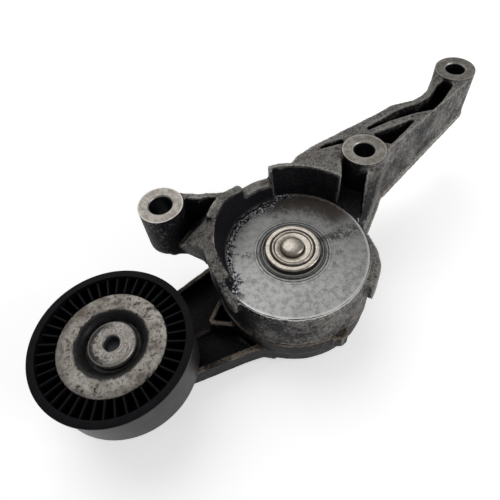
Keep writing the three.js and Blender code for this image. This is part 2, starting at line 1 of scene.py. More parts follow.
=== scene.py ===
import json
import math

import bmesh
import bpy
import numpy as np
from mathutils import Matrix, Vector, noise


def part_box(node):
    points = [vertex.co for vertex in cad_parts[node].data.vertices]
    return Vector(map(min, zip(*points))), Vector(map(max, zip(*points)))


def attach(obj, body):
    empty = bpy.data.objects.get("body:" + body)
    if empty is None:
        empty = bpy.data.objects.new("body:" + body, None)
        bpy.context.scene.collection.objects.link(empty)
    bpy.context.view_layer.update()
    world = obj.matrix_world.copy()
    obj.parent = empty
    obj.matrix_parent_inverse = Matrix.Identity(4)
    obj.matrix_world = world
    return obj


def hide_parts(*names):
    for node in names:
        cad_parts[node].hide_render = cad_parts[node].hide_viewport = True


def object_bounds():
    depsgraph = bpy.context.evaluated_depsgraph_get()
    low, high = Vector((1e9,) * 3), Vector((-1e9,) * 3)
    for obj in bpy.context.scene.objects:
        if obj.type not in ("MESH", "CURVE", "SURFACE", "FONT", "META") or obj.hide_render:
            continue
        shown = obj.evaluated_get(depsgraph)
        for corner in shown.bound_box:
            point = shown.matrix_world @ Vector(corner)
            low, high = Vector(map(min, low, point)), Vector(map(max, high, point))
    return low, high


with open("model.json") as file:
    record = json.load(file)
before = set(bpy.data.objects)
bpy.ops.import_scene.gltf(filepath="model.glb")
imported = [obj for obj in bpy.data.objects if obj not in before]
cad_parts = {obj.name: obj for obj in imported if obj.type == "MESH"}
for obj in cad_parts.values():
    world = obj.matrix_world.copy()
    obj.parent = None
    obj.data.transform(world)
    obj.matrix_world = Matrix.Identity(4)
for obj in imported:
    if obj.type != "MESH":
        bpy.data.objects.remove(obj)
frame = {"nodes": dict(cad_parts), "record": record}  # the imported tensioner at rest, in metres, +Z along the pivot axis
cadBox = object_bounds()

scene = bpy.context.scene
mm = 0.001
samePlace = 1e-7


# The frame's own places

def boxMiddle(corners):
    low, high = corners
    return (Vector(low) + Vector(high)) / 2


def openingBox(name):
    for opening in frame["record"]["physics"]["openings"]:
        if opening["name"] == name:
            return opening["box_m"]


wheelLow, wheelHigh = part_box("pulley_body")
shieldLow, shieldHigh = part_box("front_dust_shield")
boltLow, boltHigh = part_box("pulley_bolt")
flangeLow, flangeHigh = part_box("pivot_flange")
pinLow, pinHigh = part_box("pivot_pin")
springLow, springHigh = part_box("torsion_spring")
wheelCentre = boxMiddle((wheelLow, wheelHigh))
wheelRadius = (wheelHigh.x - wheelLow.x) / 2 / mm
bossCentres = [boxMiddle(openingBox(side + "_bolt_hole")) for side in ("left", "middle", "right")]
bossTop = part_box("bracket_casting")[1].z


# Mesh helpers

def link(name, mesh):
    piece = bpy.data.objects.new(name, mesh)
    scene.collection.objects.link(piece)
    return piece


def bake(piece):  # applies every modifier
    graph = bpy.context.evaluated_depsgraph_get()
    graph.update()
    mesh = bpy.data.meshes.new_from_object(piece.evaluated_get(graph))
    piece.modifiers.clear()
    piece.data = mesh
    return piece


def smoothShade(piece, angle=38):
    piece.data.shade_smooth()
    piece.data.set_sharp_from_angle(angle=math.radians(angle))


def softened(profile, steps=4):  # rounds each (radius, height, fillet) corner of a turned outline
    made = []
    count = len(profile)
    for i, corner in enumerate(profile):
        here = Vector(corner[:2])
        fillet = corner[2] if len(corner) > 2 else 0
        if not fillet or i in (0, count - 1):
            made.append(here)
            continue
        before = Vector(profile[i - 1][:2]) - here
        after = Vector(profile[i + 1][:2]) - here
        reach = min(fillet, before.length * 0.48, after.length * 0.48)
        start, end = here + before.normalized() * reach, here + after.normalized() * reach
        for k in range(steps + 1):
            t = k / steps
            made.append(start * (1 - t) ** 2 + here * 2 * t * (1 - t) + end * t ** 2)
    return made


def turnedMesh(name, profile, centre=(0, 0, 0), segments=160):
    # the profile goes round counter-clockwise by radius and height in mm, closed by the axis or by itself
    points = softened(profile)
    ringShaped = points[0].x > 0 and points[-1].x > 0
    turns = [2 * math.pi * s / segments for s in range(segments)]
    bm = bmesh.new()
    rings = []
    for p in points:
        across, up = p.x * mm, p.y * mm
        used = turns if across > 0 else turns[:1]
        rings.append([bm.verts.new((across * math.cos(t), across * math.sin(t), up)) for t in used])
    pairs = list(zip(rings, rings[1:]))
    if ringShaped:
        pairs.append((rings[-1], rings[0]))
    for a, b in pairs:
        for s in range(segments):
            t = (s + 1) % segments
            around = [a[s % len(a)], a[t % len(a)], b[t % len(b)], b[s % len(b)]]
            corners = list(dict.fromkeys(around))
            if len(corners) > 2:
                bm.faces.new(corners)
    bmesh.ops.translate(bm, verts=bm.verts, vec=Vector(centre))
    bmesh.ops.remove_doubles(bm, verts=bm.verts, dist=samePlace)
    bmesh.ops.recalc_face_normals(bm, faces=bm.faces)
    mesh = bpy.data.meshes.new(name)
    bm.to_mesh(mesh)
    bm.free()
    return mesh


def ringProfile(inner, outer, low, high):
    return [(inner, low), (outer, low), (outer, high), (inner, high)]


def cut(piece, cutters):  # machines the casting with closed meshes
    for mesh in cutters:
        tool = link("cutter", mesh)
        saw = piece.modifiers.new("machining", "BOOLEAN")
        saw.object = tool
        saw.operation = "DIFFERENCE"
        saw.solver = "MANIFOLD"
        bake(piece)
        bpy.data.objects.remove(tool)


# Castings: the CAD solid with its edges rounded as a mould leaves them

def castSkin(pieceName, nodeName, stock, look):
    bm = bmesh.new()
    bm.from_mesh(frame["nodes"][nodeName].data)
    bmesh.ops.remove_doubles(bm, verts=bm.verts, dist=samePlace)
    for mesh in stock:  # metal that the machining takes off again
        bm.from_mesh(mesh)
    mesh = bpy.data.meshes.new(pieceName)
    bm.to_mesh(mesh)
    bm.free()
    piece = link(pieceName, mesh)
    skin = piece.modifiers.new("skin", "REMESH")
    skin.mode = "VOXEL"
    skin.voxel_size = look["grain"] * mm
    rounding = piece.modifiers.new("rounding", "SMOOTH")
    rounding.factor = 0.5
    rounding.iterations = look["rounding"]
    thin = piece.modifiers.new("thin", "DECIMATE")
    thin.ratio = look["kept"]
    bake(piece)
    roughen(piece.data, look["waves"])
    return piece


def readPoints(mesh):  # places and normals
    found = []
    for what in ("co", "normal"):
        values = np.empty(len(mesh.vertices) * 3)
        mesh.vertices.foreach_get(what, values)
        found.append(values.reshape(-1, 3))
    return found


def roughen(mesh, waves):  # uneven cast surface: (size, height) pairs in mm
    places, normals = readPoints(mesh)
    for size, height in waves:
        lift = [noise.noise(Vector(p) / (size * mm)) for p in places]
        places = places + normals * (np.array(lift) * height * mm)[:, None]
    mesh.vertices.foreach_set("co", places.ravel())
    mesh.update()


wearLook = {
    "passes": 7,
    "full": 0.2,  # mm above its surroundings that wears fully
    "reach": 1.6,  # mm past which a neighbour hardly counts
    "own": 0.05,  # share of a point's own place
}


def storeWear(mesh):
    # "wear" is how far a point stands out of its smoothed surroundings, from 0 in a hollow to 1 on an edge
    look = wearLook
    places, normals = readPoints(mesh)
    count = len(places)
    edges = np.empty(len(mesh.edges) * 2, dtype=np.int64)
    mesh.edges.foreach_get("vertices", edges)
    a, b = edges.reshape(-1, 2).T
    length = np.linalg.norm(places[a] - places[b], axis=1) / mm
    pull = 1 / (1 + (length / look["reach"]) ** 4)
    degree = np.bincount(a, pull, count) + np.bincount(b, pull, count) + look["own"]
    smooth = places.copy()
    for _ in range(look["passes"]):
        total = look["own"] * smooth
        for axis in range(3):
            total[:, axis] += np.bincount(a, pull * smooth[b, axis], count)
            total[:, axis] += np.bincount(b, pull * smooth[a, axis], count)
        smooth = total / degree[:, None]
    height = ((places - smooth) * normals).sum(1) / mm
    wear = np.clip(0.5 + 0.5 * height / look["full"], 0, 1)
    attribute = mesh.attributes.new("wear", "FLOAT", "POINT")
    attribute.data.foreach_set("value", wear.astype(np.float32))


# Shader helpers

def startMaterial(name):
    material = bpy.data.materials.new(name)
    material.use_nodes = True
    return material, material.node_tree, material.node_tree.nodes["Principled BSDF"]


def plug(tree, socket, value):
    if isinstance(value, bpy.types.NodeSocket):
        tree.links.new(value, socket)
    elif hasattr(socket.default_value, "__len__") and len(socket.default_value) == 4:
        socket.default_value = (*value[:3], 1)
    else:
        socket.default_value = value


def put(tree, kind, inputs=None, **settings):
    made = tree.nodes.new(kind)
    for key, value in settings.items():
        setattr(made, key, value)
    for key, value in (inputs or {}).items():
        plug(tree, made.inputs[key], value)
    return made


def calc(tree, operation, a, b=0.0):
    return put(tree, "ShaderNodeMath", {0: a, 1: b}, operation=operation).outputs[0]


def times(tree, first, *factors):
    for factor in factors:
        first = calc(tree, "MULTIPLY", first, factor)
    return first


def plus(tree, first, *terms):
    for term in terms:
        first = calc(tree, "ADD", first, term)
    return first


def most(tree, first, *others):
    for other in others:
        first = calc(tree, "MAXIMUM", first, other)
    return first


def apart(tree, a, b):  # how far two values differ
    return calc(tree, "ABSOLUTE", calc(tree, "SUBTRACT", a, b))


def opposite(tree, value):  # 1 for 0 and 0 for 1
    return calc(tree, "SUBTRACT", 1.0, value)


def swing(tree, value, middle, strength):  # makes more of the value's ups and downs
    return times(tree, calc(tree, "SUBTRACT", value, middle), strength)


def span(tree, value, start, full):  # 0 at start, 1 at full
    settings = {"Value": value, "From Min": start, "From Max": full}
    return put(tree, "ShaderNodeMapRange", settings, interpolation_type="SMOOTHSTEP").outputs["Result"]


def band(tree, value, start, full, fading, end):  # 1 from full to fading, 0 before start and after end
    return times(tree, span(tree, value, start, full), span(tree, value, end, fading))


def backArc(tree, angle, starts, ends):  # 1 on an arc that passes 180 degrees
    return most(tree, span(tree, angle, *starts), span(tree, angle, *ends))


def combine(tree, x=0.0, y=0.0, z=0.0):
    return put(tree, "ShaderNodeCombineXYZ", {0: x, 1: y, 2: z}).outputs[0]


def coordinates(tree):
    return put(tree, "ShaderNodeTexCoord").outputs["Object"]


def placeAlong(tree, axis):  # in mm
    return times(tree, put(tree, "ShaderNodeSeparateXYZ", {0: coordinates(tree)}).outputs[axis], 1 / mm)


def facing(tree):  # the surface's own direction
    normal = put(tree, "ShaderNodeNewGeometry").outputs["Normal"]
    return put(tree, "ShaderNodeSeparateXYZ", {0: normal}).outputs


def grain(tree, size, detail=4, roughness=0.55, distortion=0.0):  # noise with features of that size in mm
    values = {
        "Vector": coordinates(tree),
        "Scale": 1 / (size * mm),
        "Detail": detail,
        "Roughness": roughness,
        "Distortion": distortion,
    }
    return put(tree, "ShaderNodeTexNoise", values).outputs["Fac"]


def streaks(tree, vector, detail, roughness):  # noise that follows a direction made up by the caller
    values = {"Vector": vector, "Scale": 1.0, "Detail": detail, "Roughness": roughness}
    return put(tree, "ShaderNodeTexNoise", values).outputs["Fac"]


def turningMarks(tree, radius, closeness):
    return streaks(tree, combine(tree, times(tree, radius, closeness)), 3.0, 0.8)


def blendColor(tree, amount, a, b):
    mixer = put(tree, "ShaderNodeMix", data_type="RGBA")
    plug(tree, mixer.inputs[0], amount)
    plug(tree, mixer.inputs[6], a)
    plug(tree, mixer.inputs[7], b)
    return mixer.outputs[2]


def blendValue(tree, amount, a, b):
    mixer = put(tree, "ShaderNodeMix", data_type="FLOAT")
    plug(tree, mixer.inputs[0], amount)
    plug(tree, mixer.inputs[2], a)
    plug(tree, mixer.inputs[3], b)
    return mixer.outputs[0]


def paint(tree, base, colour, where, strength):  # lays a colour over the base
    return blendColor(tree, times(tree, where, strength), base, colour)


def shaded(colour, share):
    return [channel * share for channel in colour]


def hollow(tree, reach, low, high):  # 1 in the open, 0 deep in a recess
    shade = put(tree, "ShaderNodeAmbientOcclusion", {"Distance": reach * mm}, samples=8, only_local=True)
    return span(tree, shade.outputs["AO"], low, high)


def axisDistance(tree, centre):  # distance from an upright axis, in mm, and the angle about it in degrees
    ends = {0: coordinates(tree), 1: tuple(centre)}
    away = put(tree, "ShaderNodeVectorMath", ends, operation="SUBTRACT").outputs[0]
    parts = put(tree, "ShaderNodeSeparateXYZ", {0: away})
    flat = combine(tree, parts.outputs[0], parts.outputs[1])
    length = put(tree, "ShaderNodeVectorMath", {0: flat}, operation="LENGTH").outputs["Value"]
    angle = calc(tree, "ARCTAN2", parts.outputs[1], parts.outputs[0])
    return times(tree, length, 1 / mm), times(tree, angle, 180 / math.pi)


def scored(tree, radius, lines):  # 1 on thin turned lines, given as (radius, half width) in mm
    made = 0.0
    for place, half in lines:
        made = most(tree, span(tree, apart(tree, radius, place), half, half * 0.4), made)
    return made


def bump(tree, bsdf, height, depth, strength=1.0, below=None):
    values = {"Height": height, "Distance": depth * mm, "Strength": strength}
    if below is not None:
        values["Normal"] = below
    made = put(tree, "ShaderNodeBump", values).outputs["Normal"]
    plug(tree, bsdf.inputs["Normal"], made)
    return made


def dress(tree, bsdf, colour, metallic, roughness, shine=0.5):
    plug(tree, bsdf.inputs["Base Color"], colour)
    plug(tree, bsdf.inputs["Metallic"], metallic)
    plug(tree, bsdf.inputs["Roughness"], roughness)
    plug(tree, bsdf.inputs["Specular IOR Level"], shine)


# Finishes

castLook = {
    "grime": (0.0028, 0.0025, 0.0042),
    "film": (0.027, 0.026, 0.035),  # thin grease over metal
    "metal": (0.13, 0.124, 0.115),
    "pale": (0.42, 0.40, 0.37),
    # colour of worn edges, also used for the painted highlight streak on the arm's rails
    "wornAndHighlit": (0.46, 0.44, 0.41),
    "brown": (0.045, 0.031, 0.022),
    "bareAndTopLitFrom": 0.95,
    "bareAndTopLitOver": 0.34,
    "wornFrom": 0.70,
    "wornOver": 0.25,
    "paintedTopLight": 0.40,  # how much more metal shows where the surface faces up (painted light from above)
    "cleanRight": 0.15,  # and away from the pulley's side
    "cleanOver": (-28, 12),  # mm, across the part
}


def greasyCasting(name, look, cleanAndUnshaded):
    material, tree, bsdf = startMaterial(name)
    broad = grain(tree, 11, 6, 0.62)
    mottle = grain(tree, 1.3, 8, 0.76)
    speck = grain(tree, 0.42, 5, 0.7)
    wear = put(tree, "ShaderNodeAttribute", attribute_name="wear").outputs["Fac"]
    # surfaces facing up show more metal: painted light from above
    litFromAbove = span(tree, facing(tree)[2], 0.2, 0.95)
    openness = hollow(tree, 12, 0.3, 0.95)
    right = span(tree, placeAlong(tree, 0), *look["cleanOver"])
    patch = plus(
        tree,
        times(tree, broad, 0.85),
        times(tree, mottle, 0.75),
        times(tree, litFromAbove, look["paintedTopLight"]),
        times(tree, right, look["cleanRight"]),
        times(tree, openness, 0.16),
    )
    # where metal shows: bare patches, and painted light on faces turned up
    bareAndTopLit = span(tree, patch, look["bareAndTopLitFrom"], look["bareAndTopLitFrom"] + look["bareAndTopLitOver"])
    rubbedAndHighlit = plus(tree, wear, swing(tree, mottle, 0.5, 1.3))
    rubbedAndHighlit = span(tree, rubbedAndHighlit, look["wornFrom"], look["wornFrom"] + look["wornOver"])
    # edges are rubbed bright more towards +X: worn metal, plus a painted highlight streak along the arm's
    # rails
    handledAndHighlit = span(tree, plus(tree, broad, times(tree, right, 0.12)), 0.38, 0.60)
    rubbedAndHighlit = times(tree, rubbedAndHighlit, handledAndHighlit)
    # for the bracket this also lays painted shade into the bay beside the middle boss
    cleanAndUnshadedHere = cleanAndUnshaded(tree)
    bareAndTopLit = times(tree, bareAndTopLit, cleanAndUnshadedHere)
    rubbedAndHighlit = times(tree, rubbedAndHighlit, blendValue(tree, cleanAndUnshadedHere, 0.35, 1.0))

    grime = blendColor(tree, span(tree, speck, 0.45, 0.75), look["grime"], look["film"])
    metal = blendColor(tree, span(tree, speck, 0.46, 0.66), look["metal"], look["pale"])
    metal = blendColor(tree, span(tree, grain(tree, 6, 7, 0.72), 0.46, 0.74), metal, look["brown"])
    pits = span(tree, mottle, 0.49, 0.40)
    metal = paint(tree, metal, look["grime"], pits, 0.68)
    colour = blendColor(tree, bareAndTopLit, grime, metal)
    wornAndHighlit = blendColor(tree, span(tree, speck, 0.3, 0.7), shaded(look["wornAndHighlit"], 0.35), look["wornAndHighlit"])
    colour = paint(tree, colour, wornAndHighlit, rubbedAndHighlit, 0.75)
    metallic = times(tree, most(tree, times(tree, bareAndTopLit, 0.5), rubbedAndHighlit), 0.7)
    dress(tree, bsdf, colour, metallic, blendValue(tree, mottle, 0.62, 0.40), 0.12)
    coarse = bump(tree, bsdf, grain(tree, 2.2, 6, 0.65), 0.4, 0.7)
    bump(tree, bsdf, speck, 0.14, 0.7, coarse)
    return material


# Where old grease hides the metal, and where shade is painted into the bay beside the middle boss: radii
# and levels in mm, angles in degrees
greaseAndShadeLook = {
    "wallReach": (38, 36),  # outside and inside radius of the raised wall
    "shadeBayRadius": (31.6, 32.2, 50, 56),
    "shadeBayAngle": (12, 20, 52, 62),
    "shadeBayFoot": (5, 6),
    "shadeBayTop": (21, 13),
    "armFloor": (-20.2, -21.6),
    "potReach": (34.0, 35.5),
    "strength": 0.93,
}


def cleanUnshadedBracket(tree):  # 1 where clean and unshaded: not greasy inside the raised wall, nor in the bay beside the middle boss, where shade is painted
    look = greaseAndShadeLook
    radius, angle = axisDistance(tree, (0, 0, 0))
    normal = facing(tree)
    outward = plus(tree, *[times(tree, normal[axis], placeAlong(tree, axis)) for axis in (0, 1)])
    inward = span(tree, calc(tree, "DIVIDE", outward, radius), -0.25, -0.6)
    inside = times(tree, inward, span(tree, radius, *look["wallReach"]))
    height = placeAlong(tree, 2)
    upright = times(tree, span(tree, height, *look["shadeBayFoot"]), span(tree, height, *look["shadeBayTop"]))
    # painted shade on the upright faces of the bay beside the middle boss
    paintedShadeBay = times(tree, band(tree, radius, *look["shadeBayRadius"]), band(tree, angle, *look["shadeBayAngle"]), upright)
    return opposite(tree, times(tree, most(tree, inside, paintedShadeBay), look["strength"]))


def cleanArm(tree):  # 1 where clean: not on the arm's floor or in its pockets, under the rims
    look = greaseAndShadeLook
    radius, _ = axisDistance(tree, (0, 0, 0))
    low = span(tree, placeAlong(tree, 2), *look["armFloor"])
    return opposite(tree, times(tree, low, span(tree, radius, *look["potReach"]), look["strength"]))


faceLook = {
    "dull": (0.235, 0.235, 0.228),
    "bright": (0.43, 0.43, 0.42),
    "soot": (0.030, 0.028, 0.028),
    "stain": (0.075, 0.052, 0.040),
    "flake": (0.27, 0.225, 0.19),
    "chipDark": (0.004, 0.004, 0.006),
    "chipPale": (0.62, 0.62, 0.66),
    "edgeHighlight": (0.72, 0.72, 0.71),
    "edge": 31.5,
    "rings": [(12.3, 0.35), (13.25, 0.22), (14.0, 0.16), (15.0, 0.2), (16.2, 0.1)],  # radius and half width
    # direction and half width in degrees, inner and outer radius, strength
    "smudges": [(21, 17, 11, 40, 1.0), (-6, 12, 12, 26, 0.6), (184, 15, 16, 27, 0.6)],
    # degrees round the rim
    "stained": (26, 42, 108, 128),
    "chippedStarts": (78, 96),
    "chippedEnds": (-128, -142),
    "westStarts": (98, 108),
    "westEnds": (-140, -150),
}


def smudges(tree, angle, radius, mid, fine):  # from the flange out to the right, and beside it on the left
    made = 0.0
    for direction, width, start, end, strength in faceLook["smudges"]:
        turned = apart(tree, angle, direction)
        turned = calc(tree, "MINIMUM", turned, calc(tree, "SUBTRACT", 360, turned))
        turned = calc(tree, "ABSOLUTE", plus(tree, turned, swing(tree, mid, 0.5, 45)))
        fading = span(tree, radius, end, (start + end) / 2)
        here = times(tree, span(tree, turned, width, 2), fading, strength)
        made = most(tree, here, made)
    within = span(tree, made, 0.0, 0.2)
    blotches = swing(tree, plus(tree, mid, fine), 1.0, 2.6)
    return times(tree, span(tree, plus(tree, times(tree, made, 0.7), blotches), 0.35, 0.85), within)


def machinedFace():
    look = faceLook
    material, tree, bsdf = startMaterial("machined face")
    radius, angle = axisDistance(tree, (0, 0, 0))
    cloud = grain(tree, 9, 6, 0.62)
    mid = grain(tree, 2.2, 7, 0.7)
    fine = grain(tree, 0.6, 6, 0.72)
    # brightest on the -Y side
    lower = span(tree, plus(tree, times(tree, placeAlong(tree, 1), -1), times(tree, cloud, 18)), -8, 32)
    base = blendColor(tree, lower, look["dull"], look["bright"])
    base = paint(tree, base, shaded(look["dull"], 0.5), span(tree, mid, 0.40, 0.66), 0.5)
    base = paint(tree, base, look["soot"], span(tree, fine, 0.55, 0.72), 0.55)
    smudge = smudges(tree, angle, radius, mid, fine)
    base = paint(tree, base, look["soot"], smudge, 0.9)
    # fine scratches and creases in patches
    crease = apart(tree, grain(tree, 6, 6, 0.62, 1.2), 0.5)
    crease = times(tree, span(tree, crease, 0.012, 0.002), span(tree, cloud, 0.40, 0.58))
    base = paint(tree, base, look["soot"], crease, 0.6)
    # rust-brown stain along the rim, as far as the middle boss
    along = band(tree, angle, *look["stained"])
    stain = times(tree, along, span(tree, plus(tree, radius, times(tree, mid, 12.0)), 23.5, 31.5))
    brown = blendColor(tree, span(tree, fine, 0.42, 0.62), look["soot"], look["stain"])
    base = paint(tree, base, brown, stain, 0.92)
    flaked = span(tree, plus(tree, radius, times(tree, mid, 3.0)), 31.2, 32.2)
    flaked = times(tree, flaked, along, span(tree, fine, 0.42, 0.52))
    base = paint(tree, base, look["flake"], flaked, 0.85)
    # corroded, chipped rim round the raised wall, wider on its west side
    chipped = backArc(tree, angle, look["chippedStarts"], look["chippedEnds"])
    west = backArc(tree, angle, look["westStarts"], look["westEnds"])
    rim = span(tree, plus(tree, radius, times(tree, west, 3.4), times(tree, mid, 13.0)), 34.2, 36.0)
    rim = times(tree, rim, chipped)
    chips = span(tree, grain(tree, 1.0, 5, 0.75, 0.6), 0.51, 0.56)
    chips = blendColor(tree, chips, look["chipDark"], look["chipPale"])
    base = blendColor(tree, rim, base, chips)
    # painted highlight along the turned edge, where nothing stands behind it
    edgeHighlight = span(tree, radius, look["edge"] - 1.1, look["edge"] - 0.5)
    edgeHighlight = times(tree, edgeHighlight, opposite(tree, chipped), opposite(tree, stain))
    base = paint(tree, base, look["edgeHighlight"], edgeHighlight, 0.6)
    # grime in the turned rings and round the flange
    ringDirt = times(tree, span(tree, plus(tree, radius, times(tree, mid, 4.0)), 17.4, 14.6), 0.4)
    dirt = most(tree, times(tree, scored(tree, radius, look["rings"]), 0.9), ringDirt)
    base = blendColor(tree, dirt, base, look["soot"])
    metallic = blendValue(tree, most(tree, stain, dirt, smudge), 0.7, 0.2)
    dress(tree, bsdf, base, metallic, blendValue(tree, cloud, 0.38, 0.55), 0.3)
    turning = bump(tree, bsdf, turningMarks(tree, radius, 3.2), 0.06, 0.35)
    scratched = bump(tree, bsdf, mid, 0.12, 0.5, turning)
    bump(tree, bsdf, chips, 0.35, times(tree, rim, 0.8), scratched)
    return material


bossLook = {
    "dull": (0.20, 0.182, 0.158),
    "bright": (0.40, 0.375, 0.34),
    "speck": (0.075, 0.064, 0.052),
    "edge": (0.56, 0.54, 0.50),
    "boreDark": (0.006, 0.007, 0.011),
    "borePale": (0.05, 0.055, 0.07),
    "outerEdge": (8.7, 9.3),
    "innerEdge": (5.6, 4.9),
}


def bossFace():
    look = bossLook
    material, tree, bsdf = startMaterial("boss face")
    radius = 99.0
    for centre in bossCentres:
        near, _ = axisDistance(tree, centre)
        radius = calc(tree, "MINIMUM", near, radius)
    fine = grain(tree, 0.5, 6, 0.7)
    mid = grain(tree, 2.5, 6, 0.65)
    base = blendColor(tree, span(tree, mid, 0.35, 0.68), look["dull"], look["bright"])
    base = paint(tree, base, look["speck"], span(tree, fine, 0.50, 0.68), 0.65)
    edge = most(tree, span(tree, radius, *look["outerEdge"]), span(tree, radius, *look["innerEdge"]))
    base = paint(tree, base, look["edge"], edge, 0.6)
    bore = span(tree, placeAlong(tree, 2), bossTop / mm - 0.35, bossTop / mm - 0.7)
    inside = blendColor(tree, span(tree, fine, 0.4, 0.7), look["boreDark"], look["borePale"])
    base = blendColor(tree, bore, base, inside)
    dress(tree, bsdf, base, 0.7, blendValue(tree, mid, 0.34, 0.5))
    turning = bump(tree, bsdf, turningMarks(tree, radius, 4.0), 0.06, 0.4)
    bump(tree, bsdf, fine, 0.08, 0.4, turning)
    return material


flangeLook = {
    "bore": 4.9,
    "groove": 9.0,
    "grooveWidth": 0.5,
    "ridge": 8.0,
    "lines": [(4.95, 0.35), (7.55, 0.2), (9.05, 0.5), (11.75, 0.35)],  # grime: radius and half width
    "dull": (0.36, 0.315, 0.26),
    "bright": (0.60, 0.56, 0.50),
    "rust": (0.36, 0.28, 0.20),
    "dirt": (0.030, 0.024, 0.019),
}


def platedSteel():
    look = flangeLook
    material, tree, bsdf = startMaterial("plated steel")
    radius, _ = axisDistance(tree, (0, 0, 0))
    fine = grain(tree, 0.5, 6, 0.72)
    mid = grain(tree, 2.2, 6, 0.6)
    openness = hollow(tree, 1.6, 0.45, 0.95)
    metal = blendColor(tree, span(tree, mid, 0.3, 0.7), look["dull"], look["bright"])
    metal = paint(tree, metal, look["rust"], span(tree, mid, 0.56, 0.7), 0.6)
    dirt = opposite(tree, times(tree, openness, span(tree, fine, 0.70, 0.52)))
    lines = scored(tree, radius, look["lines"])
    dirt = most(tree, times(tree, dirt, 0.85), times(tree, lines, 0.95))
    base = blendColor(tree, dirt, metal, look["dirt"])
    dress(tree, bsdf, base, blendValue(tree, dirt, 0.85, 0.2), blendValue(tree, mid, 0.24, 0.44))
    bump(tree, bsdf, fine, 0.06, 0.5)
    return material


nylonLook = {
    "black": (0.0014, 0.0015, 0.0026),
    "grey": (0.0038, 0.0041, 0.0060),
    "fibre": (0.03, 0.03, 0.034),
    "treadDark": (0.014, 0.013, 0.014),
    "treadPale": (0.036, 0.034, 0.035),
    "dust": (0.050, 0.040, 0.032),
    "treadDepth": 2.0,  # mm under the wheel's widest radius
}


def filledNylon():
    look = nylonLook
    material, tree, bsdf = startMaterial("glass filled nylon")
    radius, angle = axisDistance(tree, wheelCentre)
    fine = grain(tree, 0.35, 5, 0.6)
    mid = grain(tree, 4, 5, 0.6)
    base = blendColor(tree, span(tree, mid, 0.35, 0.7), look["black"], look["grey"])
    base = paint(tree, base, look["fibre"], span(tree, fine, 0.62, 0.75), 0.3)
    # the belt has polished the tread grey, in fine bands round it
    bands = combine(tree, times(tree, placeAlong(tree, 2), 1.6), times(tree, angle, 0.02))
    polished = span(tree, streaks(tree, bands, 4.0, 0.7), 0.35, 0.7)
    polished = blendColor(tree, polished, look["treadDark"], look["treadPale"])
    polished = paint(tree, polished, look["dust"], span(tree, mid, 0.48, 0.64), 0.6)
    sideways = span(tree, calc(tree, "ABSOLUTE", facing(tree)[2]), 0.7, 0.3)
    treadRadius = wheelRadius - look["treadDepth"]
    tread = times(tree, span(tree, radius, treadRadius, treadRadius + 0.3), sideways)
    base = paint(tree, base, polished, tread, 0.9)
    dress(tree, bsdf, base, times(tree, tread, 0.2), blendValue(tree, tread, 0.56, 0.40), 0.11)
    bump(tree, bsdf, fine, 0.05, 0.45)
    return material


zincLook = {
    "dull": (0.110, 0.096, 0.080),
    "bright": (0.34, 0.325, 0.30),
    "speck": (0.070, 0.060, 0.050),
    "rust": (0.095, 0.060, 0.038),
    "pit": (0.016, 0.013, 0.012),
    "grease": (0.004, 0.0038, 0.0048),
    "edge": (0.50, 0.48, 0.44),
    "greasyInside": (17.3, 16.3),
    "outerEdge": (24.9, 25.5),
}


def zincShield():
    look = zincLook
    material, tree, bsdf = startMaterial("rusty zinc")
    radius, _ = axisDistance(tree, wheelCentre)
    fine = grain(tree, 0.6, 7, 0.72)
    mid = grain(tree, 3.2, 7, 0.65, 0.4)
    broad = grain(tree, 11, 5, 0.55)
    base = blendColor(tree, span(tree, mid, 0.36, 0.62), look["dull"], look["bright"])
    base = paint(tree, base, look["speck"], span(tree, fine, 0.54, 0.68), 0.7)
    rust = span(tree, plus(tree, times(tree, mid, 0.7), times(tree, broad, 0.5)), 0.57, 0.69)
    base = paint(tree, base, look["rust"], rust, 0.7)
    pits = times(tree, span(tree, mid, 0.44, 0.36), span(tree, fine, 0.36, 0.50))
    base = paint(tree, base, look["pit"], pits, 0.9)
    dish = span(tree, plus(tree, radius, times(tree, mid, 4.0)), *look["greasyInside"])
    base = paint(tree, base, look["grease"], dish, 0.96)
    edge = times(tree, span(tree, radius, *look["outerEdge"]), span(tree, fine, 0.36, 0.5))
    base = paint(tree, base, look["edge"], edge, 0.6)
    metallic = blendValue(tree, most(tree, rust, dish), 0.7, 0.1)
    dress(tree, bsdf, base, metallic, blendValue(tree, rust, 0.38, 0.68), 0.2)
    rough = bump(tree, bsdf, mid, 0.12, 0.35)
    bump(tree, bsdf, fine, 0.07, 0.5, rough)
    return material


boltFinish = {
    "dark": (0.060, 0.053, 0.047),
    "bright": (0.42, 0.40, 0.375),
    "dust": (0.18, 0.152, 0.125),
    "pit": (0.03, 0.026, 0.024),
    "grease": (0.010, 0.009, 0.010),
    "edge": (0.55, 0.53, 0.50),
    "socket": (0.030, 0.034, 0.046),
    "greasySide": 150,  # degrees either way from +X
    "greasyOutside": (8.6, 10.2),
    "outerEdge": (8.5, 9.1),
    "socketRadius": (3.25, 3.05),
}


